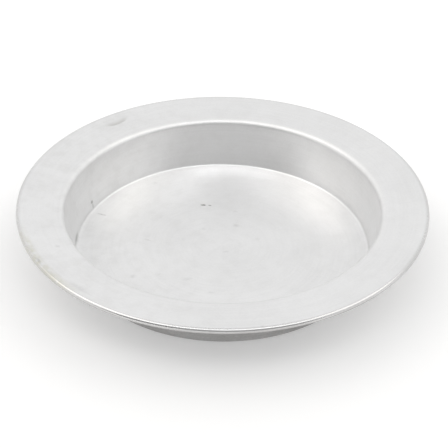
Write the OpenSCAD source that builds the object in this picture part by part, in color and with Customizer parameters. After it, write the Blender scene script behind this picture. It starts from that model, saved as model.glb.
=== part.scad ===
// Round aluminium pie tin, spun and pressed from one flat blank of sheet.
// One continuous sheet makes the flat floor with its upswept edge, the corner, the flared
// wall, the rounded lip, the wide rim that rises towards its edge, and the edge rolled under
// into an open bead.
// Millimetres, +Z up. The origin is the centre of the floor's underside, so the tin
// stands on Z = 0.

/* [Tin] */
// Diameter over the rolled edge
tin_d = 254; // [200:1:320]
// Height from the table to the top of the rolled edge
tin_h = 39.8; // [25:0.1:60]
// Thickness of the sheet
gauge = 1; // [0.6:0.1:1.4]

/* [Rim and lip] */
// Width of the rim in plan, from the centre of the lip's curve to the outside of the bead
rim_w = 26.1; // [14:0.1:36]
// Rise of the rim towards its edge, in degrees
rim_rise = 9.2; // [0:0.1:14]
// Radius of the lip where the wall turns over into the rim, on the outside of the bend
lip_r = 3; // [2:0.5:6]

/* [Rolled edge] */
// Thickness of the bead that the rolled edge makes
bead_d = 3.6; // [3.2:0.1:5]
// How far the edge is rolled round, in degrees
bead_turn = 270; // [200:5:275]

/* [Wall and floor] */
// Flare of the wall from upright, in degrees
wall_flare = 8.4; // [3:0.1:20]
// Radius of the corner between wall and floor, on the inside of the bend
corner_r = 2; // [1:0.5:6]
// Radius of the slow upsweep at the floor's edge, just before the corner, on the inside
sweep_r = 60; // [30:5:100]
// How far the upsweep turns, in degrees
sweep_turn = 12; // [2:1:15]

/* [Dent in the rim] */
// Length of the dent along the rim
dent_len = 20; // [12:1:28]
// Width of the dent across the rim
dent_w = 7; // [5:0.5:8]
// Depth of the dent
dent_depth = 0.5; // [0.3:0.1:0.7]
// Distance from the outside of the bead to the middle of the dent
dent_inset = 10.4; // [10:0.1:11]
// Direction of the dent round the tin, in degrees from +X
dent_dir = 129.3; // [0:0.1:359]

/* [Hidden] */

// Facets round the tin
$fn = 144;
// Largest turn of one facet of a bend, in degrees
bend_step = 34;

bead_r = bead_d / 2;
// Unit vectors along the rim and square to it, in the radial section
rim_dir = [cos(rim_rise), sin(rim_rise)];
rim_up = [-sin(rim_rise), cos(rim_rise)];
// The same for the wall
wall_dir = [sin(wall_flare), cos(wall_flare)];
wall_in = [-cos(wall_flare), sin(wall_flare)];

// Centre of the bead in the radial section, as [radius, height]
bead_at = [tin_d / 2 - bead_r, tin_h - bead_r];
// Flat stretch of the rim between lip and bead, and the centre of the lip's curve
rim_run = (rim_w - bead_r + (lip_r - bead_r) * sin(rim_rise)) / cos(rim_rise);
lip_at = bead_at - rim_run * rim_dir - (lip_r - bead_r) * rim_up;
// Straight stretch of the wall between corner and lip, and the centres of the corner's curve
// and of the upsweep
bends = lip_r + corner_r;
sweep_out = sweep_r - corner_r;
corner_h = gauge + corner_r + sweep_out * (1 - cos(sweep_turn));
wall_run = (lip_at.y - corner_h + bends * sin(wall_flare)) / cos(wall_flare);
corner_at = lip_at - wall_run * wall_dir + bends * wall_in;
sweep_at = corner_at + sweep_out * [-sin(sweep_turn), cos(sweep_turn)];

// Directions from each bend's centre at which its curve starts and ends, in degrees
sweep_arc = [-90, -90 + sweep_turn];
corner_arc = [-90 + sweep_turn, -wall_flare];
lip_arc = [180 - wall_flare, 90 + rim_rise];
bead_arc = [90 + rim_rise, 90 + rim_rise - bead_turn];

// Middle of the dent on the rim's top face, as [radius, height]
rim_edge = bead_at + bead_r * rim_up;
dent_back = (rim_edge.x - tin_d / 2 + dent_inset) / cos(rim_rise);
dent_at = rim_edge - dent_back * rim_dir;
// The dent is pressed in by a round-edged wheel: radii that give its width and its length
edge_r = (dent_w * dent_w / 4 + dent_depth * dent_depth) / (2 * dent_depth);
wheel_r = (dent_len * dent_len / 4 + dent_depth * dent_depth) / (2 * dent_depth);
// Half width of the strip of rim that the dent's underside may reach
dent_reach = dent_w;
// How far below the rim that strip runs
dent_drop = 3 * gauge;

// Points of an arc about c from direction arc[0] to arc[1], in two facets or more. An arc
// that carries straight on from another leaves out its first point.
function bend(c, r, arc, carries_on = false) =
    let (steps = max(2, ceil(abs(arc[1] - arc[0]) / bend_step)))
    [for (i = [carries_on ? 1 : 0 : steps])
        let (a = arc[0] + (arc[1] - arc[0]) * i / steps)
        c + r * [cos(a), sin(a)]];

// One face of the sheet from the upsweep to the rolled end, at a depth below the top face
function sheet_face(depth) = concat(
    bend(sweep_at, sweep_r + depth, sweep_arc),
    bend(corner_at, corner_r + depth, corner_arc, true),
    bend(lip_at, lip_r - depth, lip_arc),
    bend(bead_at, bead_r - depth, bead_arc));

function reversed(points) = [for (i = [len(points) - 1 : -1 : 0]) points[i]];

// Radial section of the sheet: the top face outwards, then the underside back
module sheet_section() {
    polygon(concat([[0, gauge]], sheet_face(0), reversed(sheet_face(gauge)), [[0, 0]]));
}

// The wheel, grown by a given amount, standing in the dent with its rim along the tin's rim
module dent_wheel(grow) {
    hub = dent_at + (wheel_r - dent_depth) * rim_up;
    rotate([0, 0, dent_dir])
        translate([hub.x, 0, hub.y])
            rotate([0, 90 - rim_rise, 0])
                rotate_extrude()
                    translate([wheel_r - edge_r, 0]) circle(r = edge_r + grow);
}

// The strip of space from the middle of the rim's sheet downwards, near the dent
module under_rim() {
    top = dent_at - gauge / 2 * rim_up;
    reach = dent_reach * rim_dir;
    drop = [0, -dent_drop];
    rotate_extrude()
        polygon([top - reach, top - reach + drop, top + reach + drop, top + reach]);
}

module pie_tin() {
    color([0.89, 0.89, 0.88])
        difference() {
            union() {
                rotate_extrude() sheet_section();
                intersection() {
                    dent_wheel(gauge);
                    under_rim();
                }
            }
            dent_wheel(0);
        }
}

pie_tin();
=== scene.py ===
import math

import bmesh
import bpy
from mathutils import Matrix, Quaternion, Vector, noise


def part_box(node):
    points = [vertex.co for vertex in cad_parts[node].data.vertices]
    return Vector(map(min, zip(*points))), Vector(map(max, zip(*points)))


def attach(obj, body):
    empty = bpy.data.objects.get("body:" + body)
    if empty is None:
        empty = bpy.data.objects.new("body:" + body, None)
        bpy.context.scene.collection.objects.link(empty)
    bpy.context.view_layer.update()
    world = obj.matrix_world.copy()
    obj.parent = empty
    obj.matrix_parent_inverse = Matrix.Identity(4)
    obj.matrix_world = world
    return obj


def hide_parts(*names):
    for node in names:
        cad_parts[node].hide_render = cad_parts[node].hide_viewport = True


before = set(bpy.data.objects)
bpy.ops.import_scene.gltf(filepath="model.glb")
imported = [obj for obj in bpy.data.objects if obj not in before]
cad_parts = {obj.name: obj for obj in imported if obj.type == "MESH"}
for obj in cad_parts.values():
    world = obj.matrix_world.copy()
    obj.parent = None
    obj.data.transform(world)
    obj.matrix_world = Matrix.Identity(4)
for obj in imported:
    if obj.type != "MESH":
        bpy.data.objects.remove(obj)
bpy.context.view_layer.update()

# The tin
# One disc of soft aluminium sheet makes the whole tin. It is pressed and spun over a round
# former into floor, upswept floor edge, corner, wall, lip and rim, and its edge is rolled
# under into an open bead. Both faces of the sheet are laid out that way, in runs and bends.
mm = 0.001
low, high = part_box("pie_tin")
tin_r = high.x
tin_h = high.z
sheet = 1.0 * mm
rim_w = 26.1 * mm
rim_rise = math.radians(9.2)
lip_r = 3.0 * mm
round_lip_r = 4.2 * mm
bead_r = 1.8 * mm
bead_turn = math.radians(270)
wall_flare = math.radians(8.4)
corner_r = 2.0 * mm
sweep_r = 60 * mm
sweep_turn = math.radians(12)

wall_rise = math.pi / 2 - wall_flare
lip_turn = wall_rise - rim_rise


def heading(angle):
    """Unit vector in the radial section at an angle above the floor."""
    return Vector((math.cos(angle), 0, math.sin(angle)))


rim_run = (rim_w - bead_r + (lip_r - bead_r) * math.sin(rim_rise)) / math.cos(rim_rise)
rim_up = heading(rim_rise + math.pi / 2)
bead_at = Vector((tin_r - bead_r, 0, tin_h - bead_r))
lip_at = bead_at - rim_run * heading(rim_rise) - (lip_r - bead_r) * rim_up
bends = lip_r + corner_r
sweep_out = sweep_r - corner_r
corner_h = sheet + corner_r + sweep_out * (1 - math.cos(sweep_turn))
wall_run = (lip_at.z - corner_h + bends * math.sin(wall_flare)) / math.cos(wall_flare)
corner_at = lip_at - wall_run * heading(wall_rise) + bends * heading(wall_rise + math.pi / 2)
floor_r = corner_at.x - sweep_out * math.sin(sweep_turn)

# The lip is worn rounder than its nominal bend, which takes this much from the wall and from the
# rim beside it.
rounded_off = (round_lip_r - lip_r) * math.tan(lip_turn / 2)

section = bmesh.new()
outside = section.verts.layers.float.new("outside")
crease = section.verts.layers.float.new("crease")
coarse = section.verts.layers.float.new("coarse")


def run(tip, angle, length, steps):
    """Carries the sheet straight on from its tip and returns the new tip."""
    for _ in range(steps):
        tip = bmesh.ops.extrude_vert_indiv(section, verts=[tip])["verts"][0]
        bmesh.ops.translate(section, verts=[tip], vec=heading(angle) * length / steps)
    return tip


def bend(tip, angle, radius, turn, steps):
    """Bends the sheet on from its tip: up for a positive turn, down and under for a negative one."""
    centre = tip.co + heading(angle + math.copysign(math.pi / 2, turn)) * radius
    made = bmesh.ops.spin(section, geom=[tip], cent=centre, axis=(0, -1, 0), angle=turn, steps=steps)
    return next(v for v in made["geom_last"] if isinstance(v, bmesh.types.BMVert))


def smoothstep(x):
    """0 below 0, 1 above 1, and a smooth rise between them."""
    x = min(max(x, 0), 1)
    return x * x * (3 - 2 * x)


# The top face is drawn first, then the underside one gauge below it. "outside" marks the outer
# side, whose colour is painted darker as shade: it grows over the bead's shoulder to full
# strength at the angle set next, measured from the top of the rim, and is 1 on the whole underside.
# "coarse" is 1 on the lip, where the sheet has stretched over the former's edge, and -1 on the bead, which a
# roller has burnished.
full_shade_at = math.radians(124)
tips = []
for depth in (0, sheet):
    tip = bmesh.ops.create_vert(section, co=(0, 0, sheet - depth))["vert"][0]
    tip = run(tip, 0, floor_r, steps=16)
    tip = bend(tip, 0, sweep_r + depth, sweep_turn, steps=8)
    tip = bend(tip, sweep_turn, corner_r + depth, wall_rise - sweep_turn, steps=8)
    tip = run(tip, wall_rise, wall_run - rounded_off, steps=6)
    before_lip = set(section.verts)
    tip = bend(tip, wall_rise, round_lip_r - depth, -lip_turn, steps=10)
    lip_part = set(section.verts) - before_lip
    tip = run(tip, rim_rise, rim_run - rounded_off, steps=48)
    before_bead = set(section.verts)
    tip = bend(tip, rim_rise, bead_r - depth, -bead_turn, steps=18)
    tips.append(tip)
    bead_part = set(section.verts) - before_bead
    for v in lip_part:
        v[coarse] = 1.0
    for v in bead_part:
        v[coarse] = -1.0
    if depth == 0:
        for v in bead_part:
            round_bead = rim_up.angle(v.co - bead_at)
            under_rim = (v.co - bead_at).dot(heading(rim_rise)) < 0 and v.co.z < bead_at.z
            v[outside] = 1.0 if under_rim else min(round_bead / full_shade_at, 1)
        top_face = set(section.verts)
for v in set(section.verts) - top_face:
    v[outside] = 1.0
# The cut end of the sheet, inside the curl
bmesh.ops.contextual_create(section, geom=tips)

# The section is turned once round the axis. The stretch with the dent gets finer steps.
dent_dir = math.radians(129.3)
dent_sector = math.radians(24)
fine_steps = 96
coarse_steps = 176
bmesh.ops.rotate(
    section, verts=section.verts[:], cent=(0, 0, 0),
    matrix=Matrix.Rotation(dent_dir - dent_sector / 2, 3, "Z"))
dent_part = bmesh.ops.spin(
    section, geom=section.verts[:] + section.edges[:], cent=(0, 0, 0), axis=(0, 0, 1),
    angle=dent_sector, steps=fine_steps)
bmesh.ops.spin(
    section, geom=dent_part["geom_last"], cent=(0, 0, 0), axis=(0, 0, 1),
    angle=math.tau - dent_sector, steps=coarse_steps)
bmesh.ops.remove_doubles(section, verts=section.verts[:], dist=0.001 * mm)
bmesh.ops.recalc_face_normals(section, faces=section.faces[:])

# Use has left the tin a little out of true: the rim waves and droops, the floor isn't quite
# flat, and a knock has pressed a shallow crescent into the rim. Its inner side is a steep
# crease, and it runs out softly towards the bead and at both ends. The crease is painted darker
# as shade, and so is the outer edge of the rim, least at the front, where the bead catches its highlight.
rim_wave = 0.25 * mm
rim_wave_span = 90 * mm
rim_wave_from = Vector((3.1, 7.7, 0.4))
rim_droop = 0.6 * rim_wave
floor_wave = 0.2 * mm
floor_wave_span = 45 * mm
floor_wave_from = Vector((9.2, 1.3, 5.5))
floor_edge_w = 20 * mm
dent_inner_r = 113.4 * mm
dent_len = 22 * mm
dent_hook = 3.0 * mm
dent_step = 2.0 * mm
dent_run_out = 6.0 * mm
dent_fade = 2 / 3
dent_depth = 0.65 * mm
edge_w = 1.2 * mm
edge_shade = 0.16
front_y = -100 * mm
front_fade = 60 * mm

for v in section.verts:
    r = v.co.xy.length
    on_rim = smoothstep((r - lip_at.x) / rim_run)
    wave = noise.noise(v.co.xy.to_3d() / rim_wave_span + rim_wave_from)
    v.co.z += on_rim * (rim_wave * wave - rim_droop)
    on_floor = smoothstep((floor_r - r) / floor_edge_w)
    wave = noise.noise(v.co.xy.to_3d() / floor_wave_span + floor_wave_from)
    v.co.z += floor_wave * on_floor * (0.5 + 0.5 * wave)
    turn = (math.atan2(v.co.y, v.co.x) - dent_dir + math.pi) % math.tau - math.pi
    along = abs(turn) * dent_inner_r / (dent_len / 2)
    into = r - dent_inner_r - dent_hook * along ** 2
    fade = smoothstep((1 - along) / dent_fade)
    step = smoothstep(into / dent_step)
    out = smoothstep(1 - (into - dent_step) / dent_run_out)
    if lip_at.x < r < bead_at.x:
        v.co.z -= dent_depth * fade * step * out
        # The crease mask paints shade along the crease into the metal's colour.
        v[crease] = fade * step * out ** 3
    # The outer edge of the rim joins the painted shade of the outside, fading out towards the front.
    by_edge = smoothstep((r - bead_at.x) / edge_w + 1) * smoothstep((v.co.y - front_y) / front_fade)
    v[outside] = min(v[outside] + edge_shade * by_edge, 1.0)

tin_mesh = bpy.data.meshes.new("pie_tin_sheet")
section.to_mesh(tin_mesh)
section.free()
tin_mesh.shade_smooth()
tin = bpy.data.objects.new("pie_tin_sheet", tin_mesh)
bpy.context.scene.collection.objects.link(tin)

# The cut edge is rubbed smooth.
cut_edge = tin.modifiers.new("cut edge", "BEVEL")
cut_edge.width = 0.15 * mm
cut_edge.segments = 2
cut_edge.limit_method = "ANGLE"
cut_edge.angle_limit = math.radians(60)

# Spun aluminium, satin
# Nearly pure soft sheet, burnished on the lathe and then dulled by years of washing: a pale
# neutral metal with a broad soft sheen, faint rings from the spinning tool, clouds where the
# oxide is thicker, and the fine knocks, specks and stains of a kitchen. The outside is rougher, and its
# colour is painted greyer as shade; painted shade also darkens the dent's crease and the foot of the wall at
# the left.


def linear(code):
    """Linear colour of an sRGB hex code."""
    parts = [int(code[i:i + 2], 16) / 255 for i in (1, 3, 5)]
    return [x / 12.92 if x <= 0.04045 else ((x + 0.055) / 1.055) ** 2.4 for x in parts] + [1.0]


def add(tree, kind, inputs, **settings):
    """Adds a node, sets its properties, and gives each named or numbered input a value or a link."""
    node = tree.nodes.new(kind)
    for name, value in settings.items():
        setattr(node, name, value)
    for socket, value in inputs.items():
        if isinstance(value, bpy.types.NodeSocket):
            tree.links.new(value, node.inputs[socket])
        else:
            node.inputs[socket].default_value = value
    return node


clean_metal = linear("#F8F8F8")
oxide = linear("#EBEBEB")
# The grey of the painted shade on the outside. The dirt and burnt colours also paint shade in the dent's crease
# and at the wall's foot.
shade_grey = linear("#B4B3B2")
dirt_and_shade = linear("#BAB8B4")
grease = linear("#C2BFA2")
burnt_and_shade = linear("#4C4842")
spun_aluminium = bpy.data.materials.new("spun_aluminium_satin")
spun_aluminium.use_nodes = True
tree = spun_aluminium.node_tree
metal = tree.nodes["Principled BSDF"]
metal.inputs["Metallic"].default_value = 1.0

# Places on the tin in millimetres: the point itself, its distance from the axis, its
# direction from the axis, and the way to it along the sheet.
place = add(tree, "ShaderNodeTexCoord", {}).outputs["Object"]
point = add(tree, "ShaderNodeVectorMath", {0: place, "Scale": 1 / mm}, operation="SCALE").outputs[0]
flat = add(tree, "ShaderNodeVectorMath", {0: point, 1: (1, 1, 0)}, operation="MULTIPLY").outputs[0]
away = add(tree, "ShaderNodeVectorMath", {0: flat}, operation="LENGTH").outputs["Value"]
bearing = add(tree, "ShaderNodeVectorMath", {0: flat}, operation="NORMALIZE").outputs[0]
point_x, _, point_z = add(tree, "ShaderNodeSeparateXYZ", {0: point}).outputs
along_sheet = add(tree, "ShaderNodeMath", {0: away, 1: point_z}, operation="ADD").outputs[0]

# Rings that the tool left. The real ones are finer than the render can show, so they are
# drawn 1.4 mm apart. They fade in and out round the tin.
ring_step = 1.4
ring_place = add(tree, "ShaderNodeMath", {0: along_sheet, 1: ring_step}, operation="DIVIDE").outputs[0]
ring_place = add(tree, "ShaderNodeCombineXYZ", {"Z": ring_place}).outputs[0]
ring_place = add(
    tree, "ShaderNodeVectorMath", {0: bearing, 1: (2.5, 2.5, 2.5), 2: ring_place},
    operation="MULTIPLY_ADD").outputs[0]
rings = add(tree, "ShaderNodeTexNoise", {"Vector": ring_place, "Scale": 1, "Detail": 2}).outputs[0]

# Clouds of oxide about 35 mm across, and the grain of the etched surface, drawn 1.3 mm wide
# for the same reason as the rings
cloud_size = 35
clouds = add(
    tree, "ShaderNodeTexNoise",
    {"Vector": point, "Scale": 1 / cloud_size, "Detail": 3, "Distortion": 0.4}).outputs[0]
grain_size = 1.3
grain = add(tree, "ShaderNodeTexNoise", {"Vector": point, "Scale": 1 / grain_size, "Detail": 1}).outputs[0]
texture = add(tree, "ShaderNodeMath", {0: rings, 1: grain}, operation="ADD").outputs[0]
# How dull the metal is: the clouds, made uneven by rings and grain
dullness = add(
    tree, "ShaderNodeMapRange",
    {"Value": texture, "From Min": 0.0, "From Max": 2.0, "To Min": -0.5, "To Max": 0.5}).outputs[0]
dullness = add(tree, "ShaderNodeMath", {0: dullness, 1: clouds}, operation="ADD").outputs[0]

# The painted shade on the outside, uneven as the rings and clouds are, down to three quarters in the clear
# places
outside_shade = add(tree, "ShaderNodeAttribute", {}, attribute_name="outside").outputs["Fac"]
uneven = add(
    tree, "ShaderNodeMapRange",
    {"Value": dullness, "From Min": 0.2, "From Max": 0.8, "To Min": 0.75, "To Max": 1.05}).outputs[0]
outside_shade = add(tree, "ShaderNodeMath", {0: outside_shade, 1: uneven}, operation="MULTIPLY").outputs[0]

# Soft smudges about 7 mm across where food and washing water stood, stronger towards the left
smudge_size = 7
smudges_and_shade = add(
    tree, "ShaderNodeTexNoise", {"Vector": point, "Scale": 1 / smudge_size, "Detail": 2}).outputs[0]
smudges_and_shade = add(
    tree, "ShaderNodeMapRange", {"Value": smudges_and_shade, "From Min": 0.4, "From Max": 0.75},
    interpolation_type="SMOOTHSTEP").outputs[0]
leftwards = add(
    tree, "ShaderNodeMapRange",
    {"Value": point_x, "From Min": 30, "From Max": -80, "To Min": 0.04, "To Max": 0.09}).outputs[0]
smudges_and_shade = add(tree, "ShaderNodeMath", {0: smudges_and_shade, 1: leftwards}, operation="MULTIPLY").outputs[0]

# Painted shade along the dent's crease, at half strength, laid in with the smudges
crease_shade = add(tree, "ShaderNodeAttribute", {}, attribute_name="crease").outputs["Fac"]
crease_shade = add(tree, "ShaderNodeMath", {0: crease_shade, 1: 0.5}, operation="MULTIPLY").outputs[0]
smudges_and_shade = add(tree, "ShaderNodeMath", {0: smudges_and_shade, 1: crease_shade}, operation="MAXIMUM").outputs[0]

# Burnt specks and pits under a millimetre wide. Half of the 12 mm cells hold one, and its size
# in shares of a cell is drawn by chance.
speck_gap = 12
cells = add(tree, "ShaderNodeTexVoronoi", {"Vector": point, "Scale": 1 / speck_gap})
chance = add(tree, "ShaderNodeSeparateColor", {0: cells.outputs["Color"]}).outputs[0]
speck_r = add(
    tree, "ShaderNodeMapRange", {"Value": chance, "From Min": 0.5, "To Max": 0.06}).outputs[0]
specks_and_shade = add(
    tree, "ShaderNodeMath", {0: speck_r, 1: cells.outputs["Distance"]}, operation="SUBTRACT").outputs[0]
specks_and_shade = add(
    tree, "ShaderNodeMapRange", {"Value": specks_and_shade, "From Max": 0.06, "To Max": 0.35},
    interpolation_type="SMOOTHSTEP").outputs[0]

# Single marks have ragged outlines, so they are drawn on a place that is shaken by up to 0.6 mm,
# with teeth about 2 mm apart.
tooth_gap = 2.0
shaken = Vector((0.6, 0.6, 0.6))
shake = add(
    tree, "ShaderNodeTexNoise", {"Vector": point, "Scale": 1 / tooth_gap, "Detail": 1}).outputs["Color"]
ragged = add(
    tree, "ShaderNodeVectorMath", {0: shake, 1: 2 * shaken, 2: point}, operation="MULTIPLY_ADD").outputs[0]
ragged = add(tree, "ShaderNodeVectorMath", {0: ragged, 1: shaken}, operation="SUBTRACT").outputs[0]


def spot(at, size, turn, strength):
    """An oval spot on the metal, in millimetres and degrees: its strength in the middle, 0 outside."""
    local = add(
        tree, "ShaderNodeMapping",
        {"Vector": ragged, "Location": at, "Rotation": (0, 0, math.radians(turn)), "Scale": size},
        vector_type="TEXTURE").outputs[0]
    from_middle = add(tree, "ShaderNodeVectorMath", {0: local}, operation="LENGTH").outputs["Value"]
    return add(
        tree, "ShaderNodeMapRange",
        {"Value": from_middle, "From Min": 1.0, "From Max": 0.1, "To Max": strength},
        interpolation_type="SMOOTHSTEP").outputs[0]


marks_and_shade = [
    # two dashes in a row behind the middle of the floor
    spot((-13.0, 44.7, 1.3), (2.6, 1.0, 1), -8, 0.85),
    spot((-8.6, 44.3, 1.3), (1.8, 0.9, 1), -15, 0.8),
    # scratches and soft stains elsewhere on the floor
    spot((-80.0, 32.0, 1.8), (5.0, 1.0, 1.4), -10, 0.3),
    spot((-47.0, 70.5, 1.6), (3.0, 2.4, 1), 30, 0.1),
    spot((8.8, 21.5, 1.3), (3.0, 2.6, 1), 0, 0.12),
    spot((8.8, 37.6, 1.3), (2.2, 1.6, 1), 0, 0.08),
    spot((-12.3, 17.1, 1.3), (2.2, 1.8, 1), 0, 0.08),
    spot((2.3, -7.0, 1.3), (3.0, 1.6, 1), 20, 0.08),
    spot((22.6, 6.8, 1.3), (2.6, 2.0, 1), 0, 0.08),
    spot((-48.0, 4.5, 1.3), (4.5, 1.4, 1), -25, 0.12),
    spot((-55.2, -33.5, 1.3), (3.2, 2.6, 1), 40, 0.14),
    spot((-21.2, -35.6, 1.3), (4.5, 2.2, 1), 10, 0.08),
    spot((-39.5, -31.4, 1.3), (3.0, 2.0, 1), 0, 0.06),
    spot((-76.0, -10.6, 1.5), (3.5, 2.5, 1), 60, 0.08),
    spot((-6.6, -48.4, 1.3), (3.0, 1.6, 1), 0, 0.08),
    # a nick in the wall with a run below it, and painted shade along the wall's foot at the left
    spot((-87.0, 36.4, 8.3), (2.0, 2.0, 2.0), 0, 0.5),
    spot((-86.4, 36.4, 5.5), (1.4, 1.4, 3.5), 0, 0.25),
    spot((-93.4, 1.5, 4.0), (2.4, 9.0, 2.6), 0, 0.3),
    # spots and a rubbed streak on the rim
    spot((-96.0, -51.5, 36.9), (2.4, 2.0, 2.0), 0, 0.1),
    spot((-104.3, -68.4, 39.4), (3.6, 1.3, 1.6), -55, 0.22),
    spot((21.7, -123.3, 39.6), (1.6, 1.4, 1.4), 0, 0.12),
    spot((-79.0, -92.0, 38.8), (13, 2.6, 2.6), -41, 0.1),
]
# The marks, the painted shade at the wall's foot among them, join the burnt specks.
for mark in marks_and_shade:
    specks_and_shade = add(tree, "ShaderNodeMath", {0: specks_and_shade, 1: mark}, operation="MAXIMUM").outputs[0]

# Grease that is baked on beside the bead at the front left, in patches 4 mm across. It thins
# out from 4 to 20 degrees round the tin and from 0.5 to 4.5 mm off the middle of the bead.
stain_dir = math.radians(-146)
patch_size = 4
towards = add(
    tree, "ShaderNodeVectorMath", {0: bearing, 1: (math.cos(stain_dir), math.sin(stain_dir), 0)},
    operation="DOT_PRODUCT").outputs["Value"]
stain = add(
    tree, "ShaderNodeMapRange",
    {"Value": towards, "From Min": math.cos(math.radians(20)), "From Max": math.cos(math.radians(4))},
    interpolation_type="SMOOTHSTEP").outputs[0]
from_bead = add(tree, "ShaderNodeMath", {0: away, 1: bead_at.x / mm}, operation="SUBTRACT").outputs[0]
from_bead = add(tree, "ShaderNodeMath", {0: from_bead}, operation="ABSOLUTE").outputs[0]
beside_bead = add(
    tree, "ShaderNodeMapRange", {"Value": from_bead, "From Min": 4.5, "From Max": 0.5},
    interpolation_type="SMOOTHSTEP").outputs[0]
stain = add(tree, "ShaderNodeMath", {0: stain, 1: beside_bead}, operation="MULTIPLY").outputs[0]
patches = add(tree, "ShaderNodeTexNoise", {"Vector": point, "Scale": 1 / patch_size, "Detail": 3}).outputs[0]
patches = add(
    tree, "ShaderNodeMapRange", {"Value": patches, "From Min": 0.3, "From Max": 0.7, "To Max": 0.45}).outputs[0]
stain = add(tree, "ShaderNodeMath", {0: stain, 1: patches}, operation="MULTIPLY").outputs[0]

# Each layer lies over the one before it. Inputs 6 and 7 of a colour mix are its colours.
colour = clean_metal
layers = (
    (dullness, oxide), (outside_shade, shade_grey), (smudges_and_shade, dirt_and_shade), (stain, grease), (specks_and_shade, burnt_and_shade))
for amount, layer in layers:
    colour = add(
        tree, "ShaderNodeMix", {0: amount, 6: colour, 7: layer}, data_type="RGBA").outputs[2]
tree.links.new(colour, metal.inputs["Base Color"])

# The clean metal has the brightest sheen. Oxide, the outside, smudges, the crease and specks dull it, the
# stretched lip is coarser and the burnished bead finer.
roughness = 0.32
coarser = add(tree, "ShaderNodeAttribute", {}, attribute_name="coarse").outputs["Fac"]
for amount, rougher in ((dullness, 0.12), (outside_shade, 0.06), (smudges_and_shade, 0.1), (specks_and_shade, 0.3), (coarser, 0.12)):
    roughness = add(
        tree, "ShaderNodeMath", {0: amount, 1: rougher, 2: roughness}, operation="MULTIPLY_ADD").outputs[0]
tree.links.new(roughness, metal.inputs["Roughness"])

# Rings and grain stand out by a few thousandths of a millimetre.
relief_h = 0.006 * mm
relief = add(tree, "ShaderNodeBump", {"Height": texture, "Strength": 1.0, "Distance": relief_h}).outputs[0]
tree.links.new(relief, metal.inputs["Normal"])
tin_mesh.materials.append(spun_aluminium)

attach(tin, "root")
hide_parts("pie_tin")

# The table
# A plain pale sheet of matt opal acrylic that the tin stands on, lit a little from below to
# soften the shadows. It runs on so far that its edge lies at the horizon.
table_reach = 40.0
board = bmesh.new()
bmesh.ops.create_grid(board, x_segments=1, y_segments=1, size=table_reach)
board_mesh = bpy.data.meshes.new("table")
board.to_mesh(board_mesh)
board.free()
table = bpy.data.objects.new("table", board_mesh)
bpy.context.scene.collection.objects.link(table)
opal = bpy.data.materials.new("opal_acrylic")
opal.use_nodes = True
acrylic = opal.node_tree.nodes["Principled BSDF"]
acrylic.inputs["Base Color"].default_value = linear("#E1E1E1")
acrylic.inputs["Roughness"].default_value = 0.9
acrylic.inputs["Specular IOR Level"].default_value = 0.0
acrylic.inputs["Emission Color"].default_value = linear("#FFFFFF")
acrylic.inputs["Emission Strength"].default_value = 0.30
board_mesh.materials.append(opal)

# The studio
# A white tent stands round the table. One soft lamp shines through it high above the camera,
# and a warm one from each side. The tent is a little dimmer overhead, and the camera looks in
# through a dark gap below the first lamp.
world = bpy.data.worlds.new("tent")
bpy.context.scene.world = world
world.use_nodes = True
tent = world.node_tree
light = linear("#F1F1F1")[:3]
toward = add(tent, "ShaderNodeTexCoord", {}).outputs["Generated"]


def glow(bearing, height, inner, outer):
    """A round soft patch of the tent: 1 within the inner angle, 0 beyond the outer, in degrees.

    The bearing turns from the camera's side to the right, and the height is above the table.
    """
    bearing, height = math.radians(bearing), math.radians(height)
    middle = (math.sin(bearing) * math.cos(height), -math.cos(bearing) * math.cos(height), math.sin(height))
    facing = add(tent, "ShaderNodeVectorMath", {0: toward, 1: middle}, operation="DOT_PRODUCT").outputs["Value"]
    return add(
        tent, "ShaderNodeMapRange",
        {"Value": facing, "From Min": math.cos(math.radians(outer)), "From Max": math.cos(math.radians(inner))},
        interpolation_type="SMOOTHSTEP").outputs[0]


lamps = [
    (glow(0, 42, 25, 40), 2.00, linear("#FFFFFF")),
    (glow(-88, 52, 5, 31), 0.88, linear("#FFF9F2")),
    (glow(91, 50, 9, 24), 0.78, linear("#FFFBF3")),
]
for patch, power, tint in lamps:
    amount = add(tent, "ShaderNodeMath", {0: patch, 1: power}, operation="MULTIPLY").outputs[0]
    amount = add(tent, "ShaderNodeVectorMath", {0: tint[:3], "Scale": amount}, operation="SCALE").outputs[0]
    light = add(tent, "ShaderNodeVectorMath", {0: light, 1: amount}, operation="ADD").outputs[0]
gap = glow(-4, 4, 45, 60)
gap_dim = 0.86
lit = add(tent, "ShaderNodeMath", {0: gap, 1: -gap_dim, 2: 1.0}, operation="MULTIPLY_ADD").outputs[0]
overhead = glow(0, 90, 5, 40)
overhead_dim = 0.25
lit = add(
    tent, "ShaderNodeMath", {0: overhead, 1: -overhead_dim, 2: lit}, operation="MULTIPLY_ADD").outputs[0]
sky = tent.nodes["Background"]
tent.links.new(light, sky.inputs["Color"])
tent.links.new(lit, sky.inputs["Strength"])

# The camera
# It looks down on the tin from the front, a little off level as the photographer held it.
camera_away = 693 * mm
camera_above = math.radians(36.6)
stand_h = 1.3 * mm
aim = Vector((0.9 * mm, 7.8 * mm, 12.0 * mm))
tilt = math.radians(0.69)
camera_data = bpy.data.cameras.new("camera")
camera_data.lens = 86.9
camera = bpy.data.objects.new("camera", camera_data)
camera.location = (
    0, -camera_away * math.cos(camera_above), camera_away * math.sin(camera_above) + stand_h)
camera.rotation_mode = "QUATERNION"
camera.rotation_quaternion = (
    (aim - camera.location).to_track_quat("-Z", "Y") @ Quaternion((0, 0, 1), tilt))
bpy.context.scene.collection.objects.link(camera)
bpy.context.scene.camera = camera
bpy.context.scene.view_settings.view_transform = "Standard"
